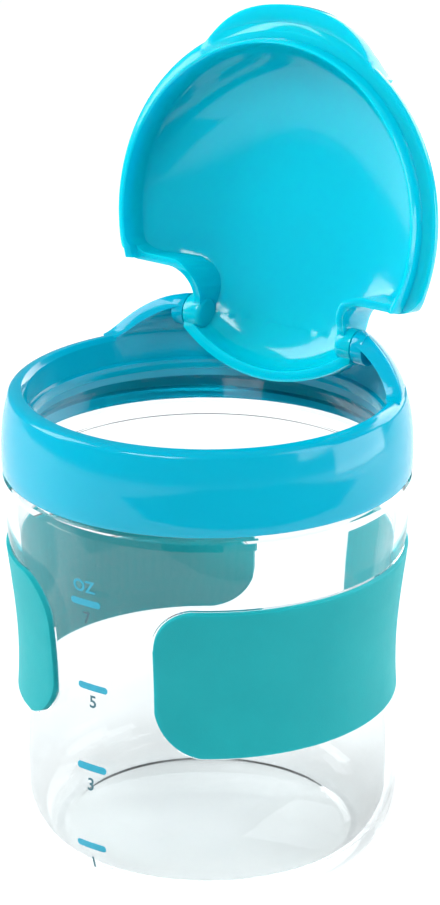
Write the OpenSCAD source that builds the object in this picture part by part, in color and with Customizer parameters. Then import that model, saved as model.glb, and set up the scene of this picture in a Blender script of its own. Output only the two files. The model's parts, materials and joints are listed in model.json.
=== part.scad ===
// Toddler snack container: a clear hourglass cup with two soft grips, closed by a
// screw collar whose flip lid swings between two raised shoulders.
// Origin: centre of the underside. +Z up, hinge towards +Y, thumb tab towards -Y.
// The lid is drawn open, resting back past upright; the collar is drawn screwed home.

/* [Cup] */
// Height of the ledge that the collar comes down to
cup_h = 74.5; // [64:0.5:90]
// Outer radius at the ledge
cup_r = 38; // [37.6:0.1:40]
// Height of the waist, the narrowest place
waist_z = 38; // [30:0.5:46]
// How far the waist is drawn in from the ledge
waist_in = 2.9; // [0.5:0.1:4.5]
// How far the belly stands out from the waist
belly_out = 1.2; // [0:0.1:2.2]
// Height of the rounded heel
heel_h = 13; // [8:0.5:15]
// How far the heel rounds in towards the foot
heel_w = 6.8; // [4:0.1:9]
// Thickness of the cup's wall
wall = 2.1; // [1.9:0.1:2.8]
// Thickness of the floor over the dished foot
floor_t = 2.6; // [2:0.1:4]
// Depth of the dish under the floor
dish_d = 1; // [0.4:0.1:1.6]

/* [Neck] */
// Step from the ledge in to the neck
neck_in = 3.3; // [3:0.1:3.6]
// Height of the neck above the ledge
neck_h = 6.2; // [5.8:0.1:8]

/* [Grips] */
// Height of each grip's lower edge
grip_z = 31.2; // [26:0.2:34]
// Height of each grip from edge to edge
grip_h = 28.8; // [24:0.2:34]
// Angle left bare between the grips, front and back
grip_gap = 36.5; // [20:0.5:60]
// Turn of the grips away from square with the lid
grip_turn = 2.4; // [-10:0.1:10]
// Radius of the grips' upper corners
grip_top_r = 8; // [4:0.5:10]
// Radius of the grips' lower corners
grip_foot_r = 10; // [4:0.5:12]
// How far a grip stands proud of the cup
grip_proud = 0.6; // [0.3:0.1:1]
// How deep a grip is let into the wall
grip_deep = 0.8; // [0.5:0.1:1]
// Gap left round a grip in its pocket
grip_gutter = 0.4; // [0.2:0.1:0.8]

/* [Collar] */
// Height of the collar's lip above the cup's ledge
collar_h = 15.5; // [14.5:0.1:19]
// Gap between the collar's lower edge and the cup's ledge
collar_gap = 0.3; // [0.2:0.05:0.6]
// Width of the lip, from the ledge's radius in to the mouth
lip_w = 4.6; // [4.2:0.1:5]
// Radial room between the neck and the collar
neck_room = 1.5; // [1.3:0.1:1.7]
// Height of the inner flange that presses on the seal
flange_h = 2; // [1.4:0.1:2.4]
// Thickness of the shoulders' wall
shoulder_t = 2.5; // [1.8:0.1:2.6]
// Height of the shoulders above the lip
shoulder_h = 8.3; // [7.6:0.1:8.6]

/* [Seal] */
// Thickness of the seal ring
seal_t = 1.4; // [1:0.1:1.8]
// Room beside the seal ring in its seat
seal_room = 0.3; // [0.2:0.05:0.5]

/* [Lid] */
// Height of the closed lid's crown above the lip
dome_h = 13; // [12.6:0.1:15]
// Thickness of the lid's wall
lid_t = 1.8; // [1.4:0.1:2.2]
// Depth of the rim that plugs the mouth
rim_h = 2.7; // [2:0.1:3.4]
// Thickness of that rim
rim_t = 1; // [0.8:0.1:1.4]
// Radial room around that rim in the mouth
rim_room = 0.3; // [0.25:0.05:0.5]
// How far the thumb tab reaches past the lid's edge
tab_len = 4.2; // [2.5:0.1:6]
// Angle from the tab's middle to where it dies away
tab_angle = 36; // [28:1:46]
// Distance from the hinge axis forward to the notches
notch_in = 8.45; // [7.85:0.05:9.75]
// Radius in the crook of each notch
notch_r = 4.6; // [2:0.1:4.8]
// Radius of the lid's corners beside the notches
lid_corner = 5.5; // [4:0.5:7]
// Thickness of the wall round the notches and the neck
neck_t = 1.5; // [1:0.1:2]
// How much narrower the neck is than the lid between the ears, on each side
neck_step = 1.8; // [1:0.1:4]
// How far the tail's edge, behind the hinge, lies inside the mouth
tail_room = 2.5; // [2.2:0.1:3.4]
// Thickness of the tail's edge
tail_t = 2; // [1.2:0.1:2.4]
// Depth of the tail's edge below the hinge axis
tail_drop = 2.4; // [1.5:0.1:3]

/* [Hinge] */
// Distance of the hinge axis from the back of the mouth
hinge_in = 12.15; // [11.8:0.05:12.9]
// Height of the hinge axis above the lip
hinge_up = 5.45; // [5.2:0.05:5.8]
// Room from the mouth's side in to the lid, level with the hinge axis
hinge_side = 6.8; // [5.8:0.1:8.8]
// Radius of the lid's knuckles
knuckle_r = 3.2; // [2.8:0.1:3.4]
// Length of each knuckle
knuckle_l = 3.6; // [2.5:0.1:6]
// Radius of the stub pins
pin_r = 1.5; // [1.2:0.05:1.8]
// Radial play of a pin in its ear
pin_play = 0.06; // [0.03:0.01:0.1]
// Gap between the lid's side and the ear
ear_gap = 0.3; // [0.2:0.05:0.6]
// Thickness of the ears
ear_t = 2.4; // [2:0.1:3]
// Angle of the open lid from closed
open_angle = 99.9; // [90:0.1:104]

/* [Hidden] */
$fn = 96;
eps = 0.01;

cup_blue = [0.05, 0.69, 0.82];
grip_teal = [0.18, 0.66, 0.68];
clear_grey = [0.90, 0.94, 0.96, 0.45];
seal_blue = [0.35, 0.78, 0.87];

// powers of the section shared by the collar and the closed lid
bulge = 2.4;
square = 3.8;

// radii and heights of the cup
waist_r = cup_r - waist_in;
belly_r = waist_r + belly_out;
foot_r = belly_r - heel_w;
belly_z = heel_h + 3;
rim_r = cup_r - neck_in;
rim_z = cup_h + neck_h;
ledge_edge = 0.5;
ledge_low = cup_h - wall;

// heights and radii of the collar
mouth_r = cup_r - lip_w;
lip_z = cup_h + collar_h;
skirt_z = cup_h + collar_gap;
bore_r = rim_r + neck_room;
seal_top = rim_z + seal_t;
flange_top = seal_top + flange_h;
flange_in = rim_r - wall + 0.3;
lip_edge = 1.2;
shell_z = cup_h + 3.5;
shell_r = cup_r + 0.2;
crown_z = lip_z + dome_h;
shell_h = crown_z - shell_z;

// radii and heights of the lid, closed
seat_gap = 0.2;
seat_z = lip_z + seat_gap;
rim_out = mouth_r - rim_room;
rim_in = rim_out - rim_t;
rim_taper = 0.35;
edge_r = dome(seat_z + 1.2) - 0.1;

// the hinge, the notches and the tail; the lid's width between the ears is a whole tenth
hinge_y = mouth_r - hinge_in;
hinge_w = round(10 * (sqrt(pow(mouth_r, 2) - pow(hinge_y, 2)) - hinge_side)) / 10;
neck_w = hinge_w - neck_step;
notch_y = hinge_y - notch_in;
axis_z = lip_z + hinge_up;
tail_r = mouth_r - tail_room;
tail_z = axis_z - tail_drop;

// the ears and the sweep of the tail between them
ear_x = hinge_w + ear_gap;
sweep_room = 0.5;
hood_z = axis_z + 0.4;

// Superellipse section shared by the collar's outside and the closed lid.
function dome(z, in = 0) =
    z <= shell_z ? shell_r - in
    : (shell_r - in) * pow(max(0, 1 - pow((z - shell_z) / (shell_h - in), bulge)), 1 / square);

// Outer radius of the cup at a height: heel, belly, waist and ledge in turn.
function ease(t) = (1 - cos(180 * min(max(t, 0), 1))) / 2;
function cup_out(z) =
    z < heel_h ? foot_r + heel_w * sqrt(1 - pow(1 - z / heel_h, 2))
    : z < waist_z ? belly_r + (waist_r - belly_r) * ease((z - belly_z) / (waist_z - belly_z))
    : waist_r + (cup_r - waist_r) * ease((z - waist_z) / (cup_h - waist_z));

// Heights between two levels, for a profile with n steps.
function levels(z0, z1, n) = [for (i = [0 : n]) z0 + (z1 - z0) * i / n];
function flip(pts) = [for (i = [len(pts) - 1 : -1 : 0]) pts[i]];

// Quarter ellipse of the heel, drawn in by a wall.
function heel(inset, rise, n) = [
    for (i = [0 : n])
        let (a = 90 * i / n)
        [foot_r + (heel_w - inset) * sin(a), heel_h - (heel_h - rise) * cos(a)]
];
function side(inset, top, n) = [for (z = levels(heel_h + 2, top, n)) [cup_out(z) - inset, z]];

// ---- cup ----

dish_r = foot_r - 4;
function cup_profile() = concat(
    [[0, dish_d], [dish_r, dish_d], [dish_r + 2.5, 0]],
    heel(0, 0, 10),
    side(0, cup_h - ledge_edge, 20),
    [[cup_r - ledge_edge, cup_h], [rim_r, cup_h], [rim_r, rim_z - 0.4], [rim_r - 0.4, rim_z]],
    [[rim_r - wall + 0.5, rim_z], [rim_r - wall, rim_z - 0.6], [rim_r - wall, ledge_low + 0.8]],
    [[rim_r - wall + 0.8, ledge_low], [cup_r - wall - 1, ledge_low - 0.1]],
    flip(side(wall, ledge_low - 1.1, 20)),
    flip(heel(wall, dish_d + floor_t, 10)),
    [[0, dish_d + floor_t]]
);

module cup_body() {
    color(clear_grey)
    difference() {
        rotate_extrude() polygon(cup_profile());
        grip_pocket(0);
        grip_pocket(180);
    }
}

// ---- grips ----

half_span = 90 - grip_gap / 2;

// One grip's block, centred on +X: a panel bent round the waist, its corners rounded.
// more: how far its outline grows on every side.
module grip_block(out, deep, more = 0) {
    low = grip_z - more;
    high = grip_z + grip_h + more;
    span = half_span + asin(more / waist_r);
    difference() {
        rotate([0, 0, -span])
            rotate_extrude(angle = 2 * span)
                polygon(concat(
                    [for (z = levels(low, high, 12)) [cup_out(z) + out, z]],
                    [for (z = levels(high, low, 12)) [cup_out(z) - deep, z]]
                ));
        for (end = [-1, 1]) {
            grip_corner(end, 1, high, grip_top_r + more, span);
            grip_corner(end, -1, low, grip_foot_r + more, span);
        }
    }
}

// Tool that rounds one corner: a square less its circle, run outwards from the axis.
// The circle reaches just past the edges, so that it cuts them cleanly.
module grip_corner(end, up, z, r, span) {
    inset = r - 0.1;
    turn = end * (span - asin(inset / (waist_r + grip_proud)));
    rotate([0, 0, turn]) translate([0, 0, z - up * inset]) rotate([0, 90, 0]) rotate([0, 0, 90])
        linear_extrude(height = cup_r + 5)
            difference() {
                translate([min(end, 0) * (r + 2), min(up, 0) * (r + 2)]) square(r + 2);
                circle(r);
            }
}

module grip_pocket(turn) {
    rotate([0, 0, turn + grip_turn]) grip_block(2, grip_deep, grip_gutter);
}

module grip(turn) {
    color(grip_teal)
    rotate([0, 0, turn + grip_turn]) grip_block(grip_proud, grip_deep);
}

module grip_right() {
    grip(0);
}

module grip_left() {
    grip(180);
}

// ---- seal ring ----

module seal_ring() {
    in_r = rim_r - wall + 0.4;
    out_r = bore_r - seal_room;
    color(seal_blue)
    rotate_extrude()
        polygon([
            [in_r, rim_z], [out_r - 0.3, rim_z], [out_r, rim_z + 0.3],
            [out_r, seal_top - 0.3], [out_r - 0.3, seal_top], [in_r, seal_top]
        ]);
}

// ---- collar ----

// Wall of the shoulders all the way round: its inside runs straight on from the mouth.
module shoulder_ring(z0, z1, n) {
    rotate_extrude()
        polygon(concat(
            [for (z = levels(z0, z1, n)) [dome(z) - (z < lip_z ? 0.3 : 0), z]],
            [for (z = levels(z1, z0, n)) [min(mouth_r, dome(z, shoulder_t)), z]]
        ));
}

// Ring with its skirt, the seal's seat and the rounded lip.
module collar_ring() {
    rotate_extrude()
        polygon(concat(
            [[bore_r + 0.3, skirt_z], [cup_r - 0.1, skirt_z], [shell_r, skirt_z + 0.8]],
            [for (z = levels(shell_z, lip_z - lip_edge, 10)) [dome(z), z]],
            lip_arc(),
            [[mouth_r, lip_z - 0.8], [mouth_r, flange_top + 0.4], [flange_in, flange_top]],
            [[flange_in, seal_top], [bore_r, seal_top], [bore_r, skirt_z + 0.5]]
        ));
}

// Crown of the lip, from the outer face over to the mouth.
lip_out = dome(lip_z - lip_edge);
lip_mid = mouth_r + 0.8;
function lip_arc() = [
    for (a = [15 : 15 : 90])
        [lip_mid + (lip_out - lip_mid) * cos(a), lip_z - lip_edge + lip_edge * sin(a)]
];

// Side view of the shoulders: up from the lip in an S and on over the ears.
ramp_y = notch_y - 0.2;
ramp_len = hinge_y - 0.7 - ramp_y;
module shoulder_outline() {
    polygon(concat(
        [[ramp_y, lip_z - 4]],
        [for (t = levels(0, 1, 12)) [ramp_y + ramp_len * t, lip_z + shoulder_h * ease(t)]],
        [[hinge_y + 2, lip_z + shoulder_h], [cup_r + 2, hood_z], [cup_r + 2, lip_z - 4]]
    ));
}

// Barrel that the lid's tail sweeps about the hinge axis.
function reach(x, room) =
    let (y = sqrt(pow(tail_r, 2) - pow(min(x, tail_r - 1), 2)) - hinge_y)
    sqrt(pow(max(y, 0), 2) + pow(tail_drop, 2)) + room;

module tail_barrel(room, half) {
    xs = levels(-half, half, 16);
    translate([0, hinge_y, axis_z]) rotate([0, 90, 0])
        rotate_extrude()
            polygon(concat(
                [[0, -half]],
                [for (x = xs) [max(reach(abs(x), room), knuckle_r + room), x]],
                [[0, half]]
            ));
}

module shoulders() {
    difference() {
        intersection() {
            shoulder_ring(lip_z - 3, lip_z + shoulder_h, 18);
            rotate([90, 0, 90]) linear_extrude(height = 2 * cup_r + 4, center = true)
                shoulder_outline();
        }
        // between the ears only a low hood stands, behind the tail
        translate([-ear_x, 0, lip_z]) cube([2 * ear_x, hinge_y, 2 * dome_h]);
        translate([-ear_x, 0, hood_z]) cube([2 * ear_x, cup_r, dome_h]);
    }
}

module ear(side_sign) {
    intersection() {
        translate([side_sign * (ear_x + ear_t / 2), hinge_y, axis_z]) rotate([0, 90, 0])
            cylinder(r = knuckle_r, h = ear_t, center = true);
        rotate_extrude()
            polygon(concat(
                [[0, lip_z - 3]],
                [for (z = levels(lip_z - 3, lip_z + shoulder_h + 0.5, 14)) [dome(z) - 0.2, z]],
                [[0, lip_z + shoulder_h + 0.5]]
            ));
    }
}

module collar() {
    color(cup_blue)
    difference() {
        union() {
            collar_ring();
            shoulders();
            for (side_sign = [-1, 1]) ear(side_sign);
        }
        tail_barrel(sweep_room, ear_x);
        translate([0, hinge_y, axis_z]) rotate([0, 90, 0])
            cylinder(r = pin_r + pin_play, h = 2 * (ear_x + ear_t) + 2, center = true);
    }
}

// ---- lid, drawn closed and then swung open ----

// Outside of the closed lid as one solid of revolution.
module lid_solid() {
    top = crown_z - 1.2;
    rotate_extrude()
        polygon(concat(
            [[0, seat_z], [edge_r - 0.5, seat_z], [edge_r, seat_z + 0.5]],
            [for (z = levels(seat_z + 1.4, top, 20)) [dome(z), z]],
            [for (f = [0.6, 0.3, 0.12, 0.03]) [dome(crown_z - 1.2 * f), crown_z - 1.2 * f]],
            [[0, crown_z]]
        ));
}

// Rim that plugs the mouth, from one notch round the front to the other.
rim_low = lip_z - rim_h;
module plug_rim() {
    intersection() {
        rotate_extrude()
            polygon([
                [rim_in - 0.5, rim_low + 0.8], [rim_in + 0.3, rim_low],
                [rim_out - rim_taper - 0.2, rim_low], [rim_out - rim_taper, rim_low + 0.3],
                [rim_out, seat_z], [rim_out, seat_z + 1], [rim_in - 0.5, seat_z + 1]
            ]);
        translate([-cup_r, notch_y - 0.4 - 2 * cup_r, rim_low - 1]) cube([2 * cup_r, 2 * cup_r, 10]);
    }
}

// Plan of the thumb tab: the lid's circle with one soft lobe at the front.
function lobe(a) =
    edge_r - 0.6 + tab_len * (1 + cos(180 * pow(min(abs(a) / tab_angle, 1), 2))) / 2;
module tab_plan() {
    polygon(concat(
        [[0, 0]],
        [for (a = [-tab_angle : 2 : tab_angle]) lobe(a) * [sin(a), -cos(a)]]
    ));
}

// Thumb tab: the lobe cut from a skirt that leaves the dome and thins to its edge.
module thumb_tab() {
    far = edge_r + tab_len;
    intersection() {
        translate([0, 0, seat_z]) linear_extrude(height = 8) tab_plan();
        rotate_extrude()
            polygon([
                [rim_out - 0.5, seat_z], [far - 0.6, seat_z], [far - 0.1, seat_z + 0.5],
                [far - 0.1, seat_z + 1.1], [far - 0.9, seat_z + 2], [edge_r + 1.2, seat_z + 3],
                [edge_r - 0.8, seat_z + 4.4], [rim_out - 0.5, seat_z + 5]
            ]);
    }
}

// Half plan of the lid behind its round front: its own corner, the notch with its
// crook, the neck between the ears, and the tail out to its edge.
// r: round front, y: notch, corner, crook, neck: half width, step: where the tail
// starts, wide: the tail's half width, back: the tail's edge.
function lid_half(r, y, corner, crook, neck, step, wide, back) =
    let (cy = y - corner, cx = sqrt(pow(r - corner, 2) - pow(cy, 2)), lean = atan2(cy, cx))
    concat(
        [1.4 * r * [1, -1], 1.4 * r * [cos(lean), sin(lean)]],
        [for (a = levels(lean, 90, 8)) [cx, cy] + corner * [cos(a), sin(a)]],
        [for (a = levels(270, 180, 8)) [neck + crook, y + crook] + crook * [cos(a), sin(a)]],
        [[neck, step], [wide, step]],
        [for (a = levels(acos(wide / back), 90, 14)) back * [cos(a), sin(a)]]
    );

module lid_plan(half) {
    translate([0, 0, rim_low - 1]) linear_extrude(height = crown_z - rim_low + 2)
        polygon(concat(half, flip([for (p = half) if (p[0] > eps) [-p[0], p[1]]])));
}

// Hollow of the lid in front of the hinge: straight behind the rim, then under the dome.
dome_low = crown_z - lid_t;
module front_hollow() {
    intersection() {
        rotate_extrude()
            polygon(concat(
                [[0, rim_low - 1], [rim_in, rim_low - 1]],
                [for (z = levels(seat_z, dome_low - 1, 20)) [min(rim_in, dome(z, lid_t)), z]],
                [for (f = [0.5, 0.2, 0.05]) [dome(dome_low - f, lid_t), dome_low - f]],
                [[0, dome_low]]
            ));
        translate([-cup_r, hinge_y - 2 * cup_r, rim_low - 2]) cube([2 * cup_r, 2 * cup_r, crown_z - rim_low + 4]);
    }
}

// Behind the hinge the hollow is drawn in, so that it meets the tail's edge in a curve.
tail_in = tail_r - tail_t;
function tail_curve(z) =
    tail_in * pow(max(0, 1 - pow((z - tail_z) / (dome_low - tail_z), bulge)), 1 / square);
module tail_hollow() {
    intersection() {
        rotate_extrude()
            polygon(concat(
                [[0, rim_low - 1], [tail_in, rim_low - 1]],
                [for (z = levels(tail_z, dome_low - 1, 16)) [min(tail_curve(z), dome(z, lid_t)), z]],
                [for (f = [0.5, 0.2, 0.05]) [dome(dome_low - f, lid_t), dome_low - f]],
                [[0, dome_low]]
            ));
        translate([-cup_r, hinge_y, rim_low - 2]) cube([2 * cup_r, cup_r, crown_z - rim_low + 4]);
    }
}

// Side view of what is cut from under the neck and the tail.
module under_cut() {
    rotate([90, 0, 90]) linear_extrude(height = 2 * cup_r, center = true)
        polygon([
            [notch_y - 0.4, rim_low - 2], [notch_y - 0.4, seat_z - 0.3],
            [notch_y + 0.6, seat_z + 0.2], [hinge_y - knuckle_r, tail_z - 0.3],
            [hinge_y, tail_z], [cup_r + 2, tail_z], [cup_r + 2, rim_low - 2]
        ]);
}

// Knuckle and stub pin on one side; the knuckle's inner end is rounded.
module knuckle(side_sign) {
    soft = 1;
    translate([side_sign * hinge_w, hinge_y, axis_z]) rotate([0, -side_sign * 90, 0]) {
        rotate_extrude()
            polygon(concat(
                [[0, 0], [knuckle_r, 0]],
                [for (a = levels(0, 90, 5))
                    [knuckle_r - soft + soft * cos(a), knuckle_l - soft + soft * sin(a)]],
                [[0, knuckle_l]]
            ));
        translate([0, 0, -ear_gap - ear_t + 0.4])
            cylinder(r = pin_r, h = knuckle_l + ear_gap + ear_t - 0.4);
    }
}

module lid_outer_plan() {
    lid_plan(lid_half(edge_r, notch_y, lid_corner, notch_r, neck_w, neck_end, hinge_w, tail_r));
}

module lid_inner_plan() {
    lid_plan(lid_half(rim_in, notch_y - neck_t, lid_corner - neck_t, notch_r + neck_t,
        neck_w - neck_t, neck_end + neck_t, hinge_w - neck_t, tail_in));
}

neck_end = hinge_y - 1;
module lid_closed() {
    difference() {
        union() {
            intersection() {
                lid_solid();
                lid_outer_plan();
            }
            plug_rim();
            thumb_tab();
        }
        intersection() {
            front_hollow();
            lid_inner_plan();
        }
        intersection() {
            tail_hollow();
            lid_inner_plan();
        }
        under_cut();
    }
    for (side_sign = [-1, 1]) knuckle(side_sign);
}

module lid() {
    color(cup_blue)
    translate([0, hinge_y, axis_z]) rotate([-open_angle, 0, 0])
        translate([0, -hinge_y, -axis_z]) lid_closed();
}

cup_body();
grip_left();
grip_right();
seal_ring();
collar();
lid();
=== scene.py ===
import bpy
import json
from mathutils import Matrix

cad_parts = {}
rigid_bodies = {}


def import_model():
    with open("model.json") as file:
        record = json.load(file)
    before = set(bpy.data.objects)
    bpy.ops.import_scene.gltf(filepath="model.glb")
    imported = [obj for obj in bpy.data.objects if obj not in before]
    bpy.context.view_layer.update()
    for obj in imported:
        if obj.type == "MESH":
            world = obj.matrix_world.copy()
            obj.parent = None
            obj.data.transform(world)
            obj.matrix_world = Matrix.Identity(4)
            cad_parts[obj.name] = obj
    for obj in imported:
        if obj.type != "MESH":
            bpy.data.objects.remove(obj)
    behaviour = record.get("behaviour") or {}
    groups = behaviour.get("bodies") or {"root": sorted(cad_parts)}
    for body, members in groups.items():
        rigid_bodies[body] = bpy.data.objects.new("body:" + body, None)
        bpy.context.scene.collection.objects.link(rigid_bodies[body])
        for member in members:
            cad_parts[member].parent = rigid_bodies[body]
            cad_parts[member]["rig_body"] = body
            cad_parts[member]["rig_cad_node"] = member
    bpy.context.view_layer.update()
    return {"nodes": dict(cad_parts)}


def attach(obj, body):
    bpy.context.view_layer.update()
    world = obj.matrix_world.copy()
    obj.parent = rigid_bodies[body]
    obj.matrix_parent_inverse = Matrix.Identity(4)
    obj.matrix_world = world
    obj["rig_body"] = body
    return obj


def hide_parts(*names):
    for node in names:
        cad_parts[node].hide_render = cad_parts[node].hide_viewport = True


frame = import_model()

import json
import math

import bmesh
import bpy
from mathutils import Matrix, Vector

nodes = frame["nodes"]
scene = bpy.context.scene


camera = {
    "place": (0.32199, -0.44095, 0.27873),
    "tilt": 69.323,
    "turn": 36.14,
    "lens": 124.92,
    "shift": (0.01419, 0.0227),
    "sensor": 36,
    "near": 0.01,
    "far": 50,
}

studio = {
    "floor": 6.0,
    "floorColour": (0.93, 0.94, 0.945),
    "floorDim": 0.985,
    "floorClouds": 3.0,
    "floorRough": 0.6,
    # the wall's height as a share of the floor, and the width and steps of the curve between them
    "wallShare": 0.6,
    "bend": (1.2, 12),
    "world": (0.95, 0.97, 1.0),
    "worldPower": 0.75,
    # what gloss sees of the room, so that colours stay deep
    "roomInGloss": 0.30,
    # name: (place, aim, width, height, watts)
    "lamps": {
        "leftBox": ((-0.75, -0.35, 0.55), (0, 0, 0.09), 0.45, 0.8, 8.0),
        "rightBox": ((0.75, 0.10, 0.50), (0, 0, 0.10), 0.35, 0.7, 3.5),
        "topBox": ((0.0, -0.75, 0.80), (0, 0, 0.11), 0.5, 0.35, 7.5),
        "backBox": ((0.0, 0.9, 0.45), (0, 0, 0.06), 0.9, 0.5, 7.0),
        "lowBox": ((0.37, 0.27, 0.085), (0, 0, 0.085), 0.32, 0.15, 0.65),
    },
}

# a dark card on the floor that only gloss sees
card = {
    "place": (0.40, -0.27, 0.001),
    "turn": -34,
    "width": 0.62,
    "length": 0.68,
    "colour": (0.03, 0.03, 0.03),
    "deep": (0.02, 0.02, 0.02),
    "clouds": 8.0,
    "rough": 0.9,
}

# all prints and ridges are given in millimetres
perMetre = 1000
# edges that turn less than this many degrees are shaded smoothly
smoothAngle = 28


def deselectAll():
    if bpy.context.object and bpy.context.object.mode != "OBJECT":
        bpy.ops.object.mode_set(mode="OBJECT")
    bpy.ops.object.select_all(action="DESELECT")


def makeCamera():
    bpy.ops.object.camera_add(location=camera["place"])
    cam = bpy.context.object
    cam.name = "photoCamera"
    cam.rotation_euler = (math.radians(camera["tilt"]), 0, math.radians(camera["turn"]))
    cam.data.lens = camera["lens"]
    cam.data.sensor_width = camera["sensor"]
    cam.data.shift_x, cam.data.shift_y = camera["shift"]
    cam.data.clip_start, cam.data.clip_end = camera["near"], camera["far"]
    scene.camera = cam


def makeFloor():
    deselectAll()
    size = studio["floor"]
    bpy.ops.mesh.primitive_plane_add(size=size)
    floor = bpy.context.object
    floor.name = "floor"
    # the far edge turns up into a wall, in a wide curve
    bpy.ops.object.mode_set(mode="EDIT")
    bm = bmesh.from_edit_mesh(floor.data)
    for e in bm.edges:
        e.select_set(all(v.co.y > 0 for v in e.verts))
    bmesh.update_edit_mesh(floor.data)
    bpy.ops.mesh.extrude_region_move(
        TRANSFORM_OT_translate={"value": (0, 0, size * studio["wallShare"])})
    bpy.ops.object.mode_set(mode="OBJECT")
    bend = floor.modifiers.new("bend", "BEVEL")
    bend.width, bend.segments = studio["bend"]
    bend.limit_method = "ANGLE"
    bpy.ops.object.modifier_apply(modifier="bend")
    bpy.ops.object.shade_smooth()
    floor.data.materials.append(floorMaterial())


def makeWorld():
    world = bpy.data.worlds.new("studioWorld")
    scene.world = world
    world.use_nodes = True
    tree = world.node_tree
    back = tree.nodes["Background"]
    back.inputs["Color"].default_value = (*studio["world"], 1)
    back.inputs["Strength"].default_value = studio["worldPower"]
    dim = tree.nodes.new("ShaderNodeBackground")
    dim.inputs["Color"].default_value = (*studio["world"], 1)
    dim.inputs["Strength"].default_value = studio["roomInGloss"]
    path = tree.nodes.new("ShaderNodeLightPath")
    mix = tree.nodes.new("ShaderNodeMixShader")
    # a ray through the clear wall also counts as glossy, so it is taken off
    seen = tree.nodes.new("ShaderNodeMath")
    seen.operation, seen.use_clamp = "SUBTRACT", True
    link(tree, path.outputs["Is Glossy Ray"], seen.inputs[0])
    link(tree, path.outputs["Is Transmission Ray"], seen.inputs[1])
    link(tree, seen.outputs["Value"], mix.inputs["Fac"])
    link(tree, back.outputs["Background"], mix.inputs[1])
    link(tree, dim.outputs["Background"], mix.inputs[2])
    link(tree, mix.outputs["Shader"], tree.nodes["World Output"].inputs["Surface"])


def makeCard():
    bpy.ops.mesh.primitive_plane_add(size=1, location=card["place"],
                                     rotation=(0, 0, math.radians(card["turn"])))
    sheet = bpy.context.object
    sheet.name = "darkCard"
    sheet.scale = (card["length"], card["width"], 1)
    sheet.visible_camera = sheet.visible_diffuse = sheet.visible_shadow = False
    sheet.visible_transmission = False
    mat, tree, bsdf = newMaterial("darkCloth")
    link(tree, mottle(tree, card), bsdf.inputs["Base Color"])
    bsdf.inputs["Roughness"].default_value = card["rough"]
    sheet.data.materials.append(mat)


def makeLamps():
    for name, (place, aim, width, height, watts) in studio["lamps"].items():
        bpy.ops.object.light_add(type="AREA", location=place)
        lamp = bpy.context.object
        lamp.name = name
        lamp.data.shape = "RECTANGLE"
        lamp.data.size, lamp.data.size_y = width, height
        lamp.data.energy = watts
        lamp.visible_camera = False
        lamp.rotation_euler = (Vector(aim) - Vector(place)).to_track_quat("-Z", "Y").to_euler()


def newMaterial(name):
    mat = bpy.data.materials.new(name)
    mat.use_nodes = True
    tree = mat.node_tree
    return mat, tree, tree.nodes["Principled BSDF"]


def link(tree, a, b):
    tree.links.new(a, b)


def noise(tree, scale, detail=4.0, squash=(1, 1, 1)):
    # noise on the object's own coordinates, so that it stays on the piece
    coords = tree.nodes.new("ShaderNodeTexCoord")
    place = tree.nodes.new("ShaderNodeMapping")
    place.inputs["Scale"].default_value = squash
    tex = tree.nodes.new("ShaderNodeTexNoise")
    tex.inputs["Scale"].default_value = scale
    tex.inputs["Detail"].default_value = detail
    link(tree, coords.outputs["Object"], place.inputs["Vector"])
    link(tree, place.outputs["Vector"], tex.inputs["Vector"])
    return tex.outputs["Fac"]


def ramp(tree, fac, stops):
    node = tree.nodes.new("ShaderNodeValToRGB")
    els = node.color_ramp.elements
    while len(els) < len(stops):
        els.new(0.5)
    for el, (pos, col) in zip(els, stops):
        el.position = pos
        el.color = (*col, 1)
    link(tree, fac, node.inputs["Fac"])
    return node.outputs["Color"]


def mottle(tree, finish):
    # two close shades in soft clouds
    return ramp(tree, noise(tree, finish["clouds"]), [(0.3, finish["deep"]), (0.7, finish["colour"])])


def spread(tree, fac, low, high):
    node = tree.nodes.new("ShaderNodeMapRange")
    node.inputs["To Min"].default_value = low
    node.inputs["To Max"].default_value = high
    link(tree, fac, node.inputs["Value"])
    return node.outputs["Result"]


def bump(tree, fac, height, socket):
    node = tree.nodes.new("ShaderNodeBump")
    node.inputs["Distance"].default_value = height
    link(tree, fac, node.inputs["Height"])
    link(tree, node.outputs["Normal"], socket)


def mouldedMaterial(name, finish):
    mat, tree, bsdf = newMaterial(name)
    link(tree, mottle(tree, finish), bsdf.inputs["Base Color"])
    link(tree, spread(tree, noise(tree, finish["roughClouds"]), *finish["rough"]),
         bsdf.inputs["Roughness"])
    # light sinks into the piece and comes out a little way off
    bsdf.inputs["Subsurface Weight"].default_value = finish["glow"]
    bsdf.inputs["Subsurface Scale"].default_value = finish["reach"]
    return mat, tree, bsdf


def floorMaterial():
    mat, tree, bsdf = newMaterial("paleFloor")
    pale = studio["floorColour"]
    dim = tuple(c * studio["floorDim"] for c in pale)
    col = ramp(tree, noise(tree, studio["floorClouds"]), [(0.35, dim), (0.65, pale)])
    link(tree, col, bsdf.inputs["Base Color"])
    bsdf.inputs["Roughness"].default_value = studio["floorRough"]
    return mat


# what the ring's and the lid's plastic share
aquaBody = {
    "clouds": 28.0,
    "roughClouds": 90.0,
    "rippleSize": 45.0,
    "bleed": (0.2, 0.7, 1.0),
}

ringFinish = {
    **aquaBody,
    "colour": (0.000, 0.365, 0.525),
    "deep": (0.000, 0.345, 0.505),
    "rough": (0.08, 0.13),
    "ripple": 0.00002,
    "glow": 0.35,
    "reach": 0.002,
    "gloss": 0.26,
}

lidFinish = {
    **aquaBody,
    "colour": (0.000, 0.490, 0.610),
    "deep": (0.000, 0.465, 0.585),
    "rough": (0.07, 0.12),
    "ripple": 0.00003,
    "glow": 0.6,
    "reach": 0.003,
    "gloss": 0.30,
}


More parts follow.
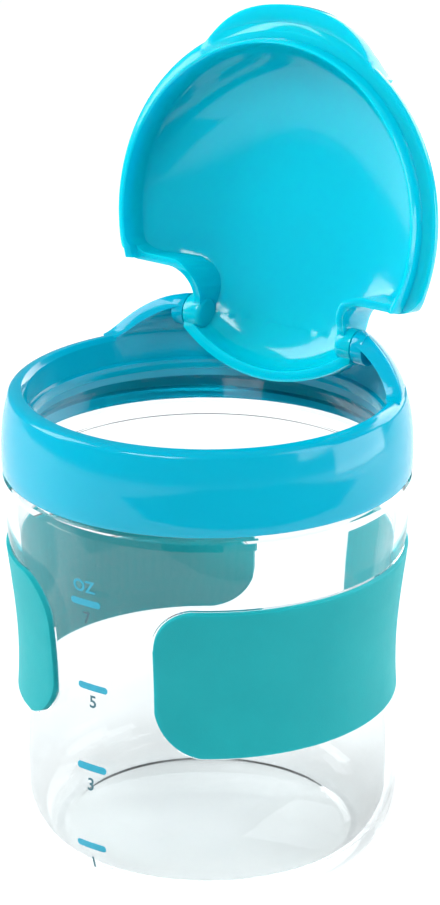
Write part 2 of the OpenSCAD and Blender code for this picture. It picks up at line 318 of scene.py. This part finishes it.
def aquaPlastic(name, finish):
    mat, tree, bsdf = mouldedMaterial(name, finish)
    bump(tree, noise(tree, finish["rippleSize"], detail=2.0), finish["ripple"],
         bsdf.inputs["Normal"])
    bsdf.inputs["Subsurface Radius"].default_value = finish["bleed"]
    bsdf.inputs["Specular IOR Level"].default_value = finish["gloss"]
    return mat


gripFinish = {
    "colour": (0.005, 0.320, 0.348),
    "deep": (0.003, 0.292, 0.322),
    "clouds": 60.0,
    "rough": (0.50, 0.62),
    "roughClouds": 300.0,
    "gloss": 0.20,
    "glow": 0.4,
    "reach": 0.002,
    "bleed": (0.3, 0.9, 1.0),
    "grain": 0.00003,
    "grainSize": 2600.0,
}


def gripRubber():
    mat, tree, bsdf = mouldedMaterial("gripRubber", gripFinish)
    bump(tree, noise(tree, gripFinish["grainSize"], detail=2.0), gripFinish["grain"],
         bsdf.inputs["Normal"])
    bsdf.inputs["Subsurface Radius"].default_value = gripFinish["bleed"]
    bsdf.inputs["Specular IOR Level"].default_value = gripFinish["gloss"]
    return mat


# the wall is thin, so it bends what is seen through it very little, and a coat carries its gloss
clearFinish = {
    "tint": (0.965, 0.972, 0.974),
    # painted shade: the cup is coloured darker towards the bottom, up to a height where the wall is
    # thin, standing in for the shadow under the cup seen through the heavy base
    "paintedBaseShade": (0.770, 0.768, 0.762),
    "baseLow": 0.002,
    "baseHigh": 0.034,
    # noise breaks that painted shade up into uneven patches, like glints of light bent through the
    # base: their size, squash and strength
    "shadePatchSize": 55.0,
    "shadePatchSquash": (1, 1, 2.5),
    "shadePatchStrength": 0.22,
    "ior": 1.06,
    "rough": (0.0, 0.02),
    "roughClouds": 120.0,
    "ripple": 0.00004,
    "rippleSize": 30.0,
    "rippleSquash": (1, 1, 0.4),
    "lampTint": (0.920, 0.930, 0.933),
    "coat": 0.45,
    "coatIor": 1.5,
    "coatRough": 0.03,
    "coatTint": (0.95, 0.965, 0.97),
}


# the clear plastic's own tint, with painted shade darker towards the bottom
def clearTintAndPaintedShade(tree):
    coords = tree.nodes.new("ShaderNodeTexCoord")
    parts = tree.nodes.new("ShaderNodeSeparateXYZ")
    link(tree, coords.outputs["Object"], parts.inputs["Vector"])
    height = tree.nodes.new("ShaderNodeMapRange")
    height.inputs["From Min"].default_value = clearFinish["baseLow"]
    height.inputs["From Max"].default_value = clearFinish["baseHigh"]
    link(tree, parts.outputs["Z"], height.inputs["Value"])
    # uneven patches of painted shade, laid over the darkening towards the bottom
    shadePatches = noise(tree, clearFinish["shadePatchSize"], squash=clearFinish["shadePatchSquash"])
    uneven = tree.nodes.new("ShaderNodeMath")
    uneven.operation = "ADD"
    link(tree, height.outputs["Result"], uneven.inputs[0])
    link(tree, spread(tree, shadePatches, -clearFinish["shadePatchStrength"], clearFinish["shadePatchStrength"]), uneven.inputs[1])
    return ramp(tree, uneven.outputs["Value"],
                [(0.05, clearFinish["paintedBaseShade"]), (0.95, clearFinish["tint"])])


def clearPlastic():
    mat, tree, bsdf = newMaterial("clearPlastic")
    link(tree, clearTintAndPaintedShade(tree), bsdf.inputs["Base Color"])
    link(tree, spread(tree, noise(tree, clearFinish["roughClouds"]), *clearFinish["rough"]),
         bsdf.inputs["Roughness"])
    ripples = noise(tree, clearFinish["rippleSize"], detail=2.0, squash=clearFinish["rippleSquash"])
    bump(tree, ripples, clearFinish["ripple"], bsdf.inputs["Normal"])
    bump(tree, ripples, clearFinish["ripple"], bsdf.inputs["Coat Normal"])
    bsdf.inputs["Transmission Weight"].default_value = 1.0
    bsdf.inputs["IOR"].default_value = clearFinish["ior"]
    bsdf.inputs["Coat Weight"].default_value = clearFinish["coat"]
    bsdf.inputs["Coat IOR"].default_value = clearFinish["coatIor"]
    bsdf.inputs["Coat Roughness"].default_value = clearFinish["coatRough"]
    bsdf.inputs["Coat Tint"].default_value = (*clearFinish["coatTint"], 1)
    # the lamps' light goes straight through, a little dimmed
    path = tree.nodes.new("ShaderNodeLightPath")
    through = tree.nodes.new("ShaderNodeBsdfTransparent")
    through.inputs["Color"].default_value = (*clearFinish["lampTint"], 1)
    mix = tree.nodes.new("ShaderNodeMixShader")
    link(tree, path.outputs["Is Shadow Ray"], mix.inputs["Fac"])
    link(tree, bsdf.outputs["BSDF"], mix.inputs[1])
    link(tree, through.outputs["BSDF"], mix.inputs[2])
    link(tree, mix.outputs["Shader"], tree.nodes["Material Output"].inputs["Surface"])
    return mat


sealFinish = {
    "colour": (0.02, 0.36, 0.50),
    "deep": (0.01, 0.32, 0.46),
    "clouds": 70.0,
    "rough": (0.35, 0.48),
    "roughClouds": 200.0,
    "glow": 0.3,
    "reach": 0.002,
}


# under the thumb tab the seat slopes up, so that a finger gets hold of it
tab = {
    "hinge": (0, 0.02125, 0.09545),
    "open": 99.9,
    "seat": 0.0902,
    "inner": 0.0344,
    "outer": 0.0360,
    "rise": 0.0012,
    "halfAngle": 30.0,
    "score": 0.00003,
    "scoreFrom": 0.001,
    "scoreSides": 240,
    # nothing of the lid above this height over the seat is lifted
    "liftUpTo": 0.006,
}


def liftTab(lid):
    hinge = Matrix.Translation(tab["hinge"])
    swing = hinge @ Matrix.Rotation(math.radians(tab["open"]), 4, "X") @ hinge.inverted()
    lid.data.transform(swing)
    deselectAll()
    # a shallow ring scored into the seat gives the slope its two edges
    bpy.ops.mesh.primitive_circle_add(vertices=tab["scoreSides"], radius=tab["inner"],
                                      location=(0, 0, tab["seat"] - tab["scoreFrom"]))
    ring = bpy.context.object
    bpy.ops.object.mode_set(mode="EDIT")
    bpy.ops.mesh.select_all(action="SELECT")
    grow = tab["outer"] / tab["inner"]
    bpy.ops.mesh.extrude_edges_move()
    bpy.ops.transform.resize(value=(grow, grow, 1), center_override=(0, 0, 0))
    bpy.ops.mesh.select_all(action="SELECT")
    bpy.ops.mesh.extrude_region_move(
        TRANSFORM_OT_translate={"value": (0, 0, tab["scoreFrom"] + tab["score"])})
    bpy.ops.mesh.select_all(action="SELECT")
    bpy.ops.mesh.normals_make_consistent(inside=False)
    bpy.ops.object.mode_set(mode="OBJECT")
    deselectAll()
    lid.select_set(True)
    bpy.context.view_layer.objects.active = lid
    score = lid.modifiers.new("score", "BOOLEAN")
    score.operation, score.solver, score.object = "DIFFERENCE", "EXACT", ring
    bpy.ops.object.modifier_apply(modifier="score")
    bpy.data.objects.remove(ring)
    for v in lid.data.vertices:
        r = math.hypot(v.co.x, v.co.y)
        away = abs(math.degrees(math.atan2(v.co.x, -v.co.y))) / tab["halfAngle"]
        if r > tab["inner"] and away < 1 and v.co.z < tab["seat"] + tab["liftUpTo"]:
            t = min((r - tab["inner"]) / (tab["outer"] - tab["inner"]), 1)
            v.co.z += tab["rise"] * t * math.cos(math.pi / 2 * away) ** 2
    lid.data.transform(swing.inverted())


softEdge = {
    "merge": 0.000002,
    "grip": 0.0002,
    "aqua": 0.0003,
    "steps": 2,
    "sharperThan": 40,
}


def smoothCopy(node, name, body, material, edge=None, shape=None):
    # a copy of the node with its seams merged, so that gloss runs smoothly over it
    deselectAll()
    source = nodes[node]
    piece = source.copy()
    piece.data = source.data.copy()
    piece.name = name
    piece.parent = None
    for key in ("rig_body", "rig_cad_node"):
        if key in piece:
            del piece[key]
    scene.collection.objects.link(piece)
    piece.select_set(True)
    bpy.context.view_layer.objects.active = piece
    bpy.ops.object.mode_set(mode="EDIT")
    bpy.ops.mesh.select_all(action="SELECT")
    bpy.ops.mesh.remove_doubles(threshold=softEdge["merge"])
    bpy.ops.mesh.customdata_custom_splitnormals_clear()
    bpy.ops.object.mode_set(mode="OBJECT")
    if shape:
        shape(piece)
    if edge:
        soft = piece.modifiers.new("softEdge", "BEVEL")
        soft.width, soft.segments, soft.limit_method = edge, softEdge["steps"], "ANGLE"
        soft.angle_limit = math.radians(softEdge["sharperThan"])
        soft.use_clamp_overlap = True
        bpy.ops.object.modifier_apply(modifier="softEdge")
    bpy.ops.object.shade_smooth_by_angle(angle=math.radians(smoothAngle))
    piece.data.materials.clear()
    piece.data.materials.append(material)
    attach(piece, body)
    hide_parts(node)


def dressNode(name, material):
    piece = nodes[name]
    piece.data.materials.clear()
    piece.data.materials.append(material)


# the cup's own measures and the collar's bore, in millimetres
cup = {
    "footR": 29.5, "heelW": 6.8, "heelH": 13.0, "bellyR": 36.3, "bellyZ": 16.0,
    "waistR": 35.1, "waistZ": 38.0, "ledgeR": 38.0, "ledgeZ": 74.5, "neckR": 34.7,
    "boreR": 36.2,
}


def ease(t):
    return (1 - math.cos(math.pi * min(max(t, 0), 1))) / 2


def cupOut(z):
    # outer radius of the cup at a height
    if z < cup["heelH"]:
        return cup["footR"] + cup["heelW"] * math.sqrt(1 - (1 - z / cup["heelH"]) ** 2)
    if z < cup["waistZ"]:
        t = (z - cup["bellyZ"]) / (cup["waistZ"] - cup["bellyZ"])
        return cup["bellyR"] + (cup["waistR"] - cup["bellyR"]) * ease(t)
    t = (z - cup["waistZ"]) / (cup["ledgeZ"] - cup["waistZ"])
    return cup["waistR"] + (cup["ledgeR"] - cup["waistR"]) * ease(t)


scaleMarks = {
    "turn": -90.0,
    "bar": (6.6, 1.35),
    "barRound": 0.46,
    "barRoundSteps": 5,
    "barSlices": 8,
    "barHeights": (59.2, 41.9, 26.1, 10.4),
    "numbers": (("7", 56.0), ("5", 38.9), ("3", 22.7), ("1", 6.6)),
    "numberSize": 3.4,
    "unit": ("OZ", 62.4),
    "unitSize": 3.3,
    "textSteps": 4,
    "merge": 0.001,
    "ink": 0.06,
    "sunk": 0.01,
    "weight": 0.05,
    "barColour": (0.000, 0.275, 0.400),
    "numberColour": (0.022, 0.105, 0.135),
}


inkFinish = {
    "fade": 1.12,
    "pale": 0.01,
    "clouds": 900.0,
    "rough": (0.3, 0.42),
    "roughClouds": 1500.0,
}


def inkMaterial(name, colour):
    mat, tree, bsdf = newMaterial(name)
    worn = tuple(min(1, c * inkFinish["fade"] + inkFinish["pale"]) for c in colour)
    link(tree, ramp(tree, noise(tree, inkFinish["clouds"]), [(0.35, colour), (0.75, worn)]),
         bsdf.inputs["Base Color"])
    link(tree, spread(tree, noise(tree, inkFinish["roughClouds"]), *inkFinish["rough"]),
         bsdf.inputs["Roughness"])
    return mat


def wrapOnCup(piece, height):
    # a flat print, in millimetres, is bent round the cup at a height
    bm = bmesh.new()
    bm.from_mesh(piece.data)
    bmesh.ops.remove_doubles(bm, verts=bm.verts, dist=scaleMarks["merge"])
    turn = math.radians(scaleMarks["turn"])
    for v in bm.verts:
        x, y, z = v.co
        r = cupOut(height + y) + z - scaleMarks["sunk"]
        a = turn + x / r
        v.co = Vector((r * math.cos(a), r * math.sin(a), height + y)) / perMetre
    bmesh.ops.recalc_face_normals(bm, faces=bm.faces)
    bm.to_mesh(piece.data)
    bm.free()


def printBar(height):
    width, tall = scaleMarks["bar"]
    deselectAll()
    bpy.ops.mesh.primitive_plane_add(size=1)
    bar = bpy.context.object
    bpy.ops.object.mode_set(mode="EDIT")
    bpy.ops.mesh.select_all(action="SELECT")
    bpy.ops.transform.resize(value=(width, tall, 1))
    bpy.ops.mesh.bevel(offset=tall * scaleMarks["barRound"], segments=scaleMarks["barRoundSteps"],
                       affect="VERTICES")
    # slices let the flat bar follow the cup's curve
    slices = scaleMarks["barSlices"]
    for i in range(1, slices):
        bpy.ops.mesh.select_all(action="SELECT")
        bpy.ops.mesh.bisect(plane_co=(width * (i / slices - 0.5), 0, 0), plane_no=(1, 0, 0))
    bpy.ops.mesh.select_all(action="SELECT")
    bpy.ops.mesh.extrude_region_move(TRANSFORM_OT_translate={"value": (0, 0, scaleMarks["ink"])})
    bpy.ops.object.mode_set(mode="OBJECT")
    wrapOnCup(bar, height)
    return bar


def printText(words, size, height):
    deselectAll()
    bpy.ops.object.text_add()
    label = bpy.context.object
    label.data.body = words
    label.data.size = size
    label.data.align_x, label.data.align_y = "CENTER", "CENTER"
    label.data.extrude = scaleMarks["ink"] / 2
    label.data.offset = scaleMarks["weight"]
    label.data.resolution_u = scaleMarks["textSteps"]
    bpy.ops.object.convert(target="MESH")
    label = bpy.context.object
    for v in label.data.vertices:
        v.co.z += scaleMarks["ink"] / 2
    wrapOnCup(label, height)
    return label


def joinAs(parts, name, material, body):
    deselectAll()
    for part in parts:
        part.select_set(True)
    bpy.context.view_layer.objects.active = parts[0]
    bpy.ops.object.join()
    piece = bpy.context.object
    piece.name = name
    piece.data.materials.clear()
    piece.data.materials.append(material)
    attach(piece, body)


def makeScale():
    aquaInk = inkMaterial("aquaInk", scaleMarks["barColour"])
    greyInk = inkMaterial("greyInk", scaleMarks["numberColour"])
    bars = [printBar(z) for z in scaleMarks["barHeights"]]
    words, z = scaleMarks["unit"]
    bars.append(printText(words, scaleMarks["unitSize"], z))
    joinAs(bars, "scaleBars", aquaInk, "cup")
    digits = [printText(n, scaleMarks["numberSize"], z) for n, z in scaleMarks["numbers"]]
    joinAs(digits, "scaleNumbers", greyInk, "cup")


# both ridges follow one helix, half a turn apart, so that they never touch as the collar turns
thread = {
    "lead": 4.0,
    "span": 324.0,
    "start": -124.0,
    "low": 76.1,
    "thick": 1.3,
    "crest": 0.6,
    "neckTip": 35.6,
    "ringTip": 35.3,
    "apart": 180.0,
    "bury": 0.05,
    "steps": 160,
}


def threadRidge(name, root, tip, start, material, body):
    deselectAll()
    bpy.ops.mesh.primitive_plane_add(size=1)
    ridge = bpy.context.object
    thick, crest, low = thread["thick"] / 2, thread["crest"] / 2, thread["low"]
    outline = ((root, -thick), (tip, -crest), (tip, crest), (root, thick))
    corners = ridge.data.polygons[0].vertices
    for i, (r, z) in zip(corners, outline):
        ridge.data.vertices[i].co = (r / perMetre, 0, (low + z) / perMetre)
    bpy.ops.object.mode_set(mode="EDIT")
    bpy.ops.mesh.select_all(action="SELECT")
    bpy.ops.mesh.delete(type="ONLY_FACE")
    bpy.ops.object.mode_set(mode="OBJECT")
    turn = ridge.modifiers.new("turn", "SCREW")
    turn.angle = math.radians(thread["span"])
    turn.screw_offset = thread["lead"] * thread["span"] / 360 / perMetre
    turn.steps = turn.render_steps = thread["steps"]
    bpy.ops.object.modifier_apply(modifier="turn")
    bpy.ops.object.mode_set(mode="EDIT")
    bpy.ops.mesh.select_all(action="SELECT")
    bpy.ops.mesh.fill_holes(sides=4)
    bpy.ops.mesh.select_all(action="SELECT")
    # with no window, the operator turns the other way
    bpy.ops.transform.rotate(value=-math.radians(start), orient_axis="Z",
                             center_override=(0, 0, 0))
    bpy.ops.mesh.normals_make_consistent(inside=False)
    bpy.ops.object.mode_set(mode="OBJECT")
    bpy.ops.object.shade_smooth_by_angle(angle=math.radians(smoothAngle))
    ridge.name = name
    ridge.data.materials.append(material)
    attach(ridge, body)


makeCamera()
makeFloor()
makeWorld()
makeCard()
makeLamps()
print("camera and studio are set")

ringAqua = aquaPlastic("ringAqua", ringFinish)
lidAqua = aquaPlastic("lidAqua", lidFinish)
grip = gripRubber()
clear = clearPlastic()
seal = mouldedMaterial("sealSilicone", sealFinish)[0]
smoothCopy("cup_body", "cupShell", "cup", clear)
smoothCopy("grip_left", "leftGrip", "cup", grip, edge=softEdge["grip"])
smoothCopy("grip_right", "rightGrip", "cup", grip, edge=softEdge["grip"])
smoothCopy("collar", "screwCollar", "collar", ringAqua, edge=softEdge["aqua"])
smoothCopy("lid", "flipLid", "lid", lidAqua, edge=softEdge["aqua"], shape=liftTab)
dressNode("seal_ring", seal)
print("the packed nodes have their finishes")

makeScale()
print("the scale is printed on the cup")

threadRidge("neckThread", cup["neckR"] - thread["bury"], thread["neckTip"], thread["start"],
            clear, "cup")
threadRidge("ringThread", cup["boreR"] + thread["bury"], thread["ringTip"],
            thread["start"] + thread["apart"], ringAqua, "collar")
print("the screw's ridges are cut")

scene.view_settings.view_transform = "Standard"
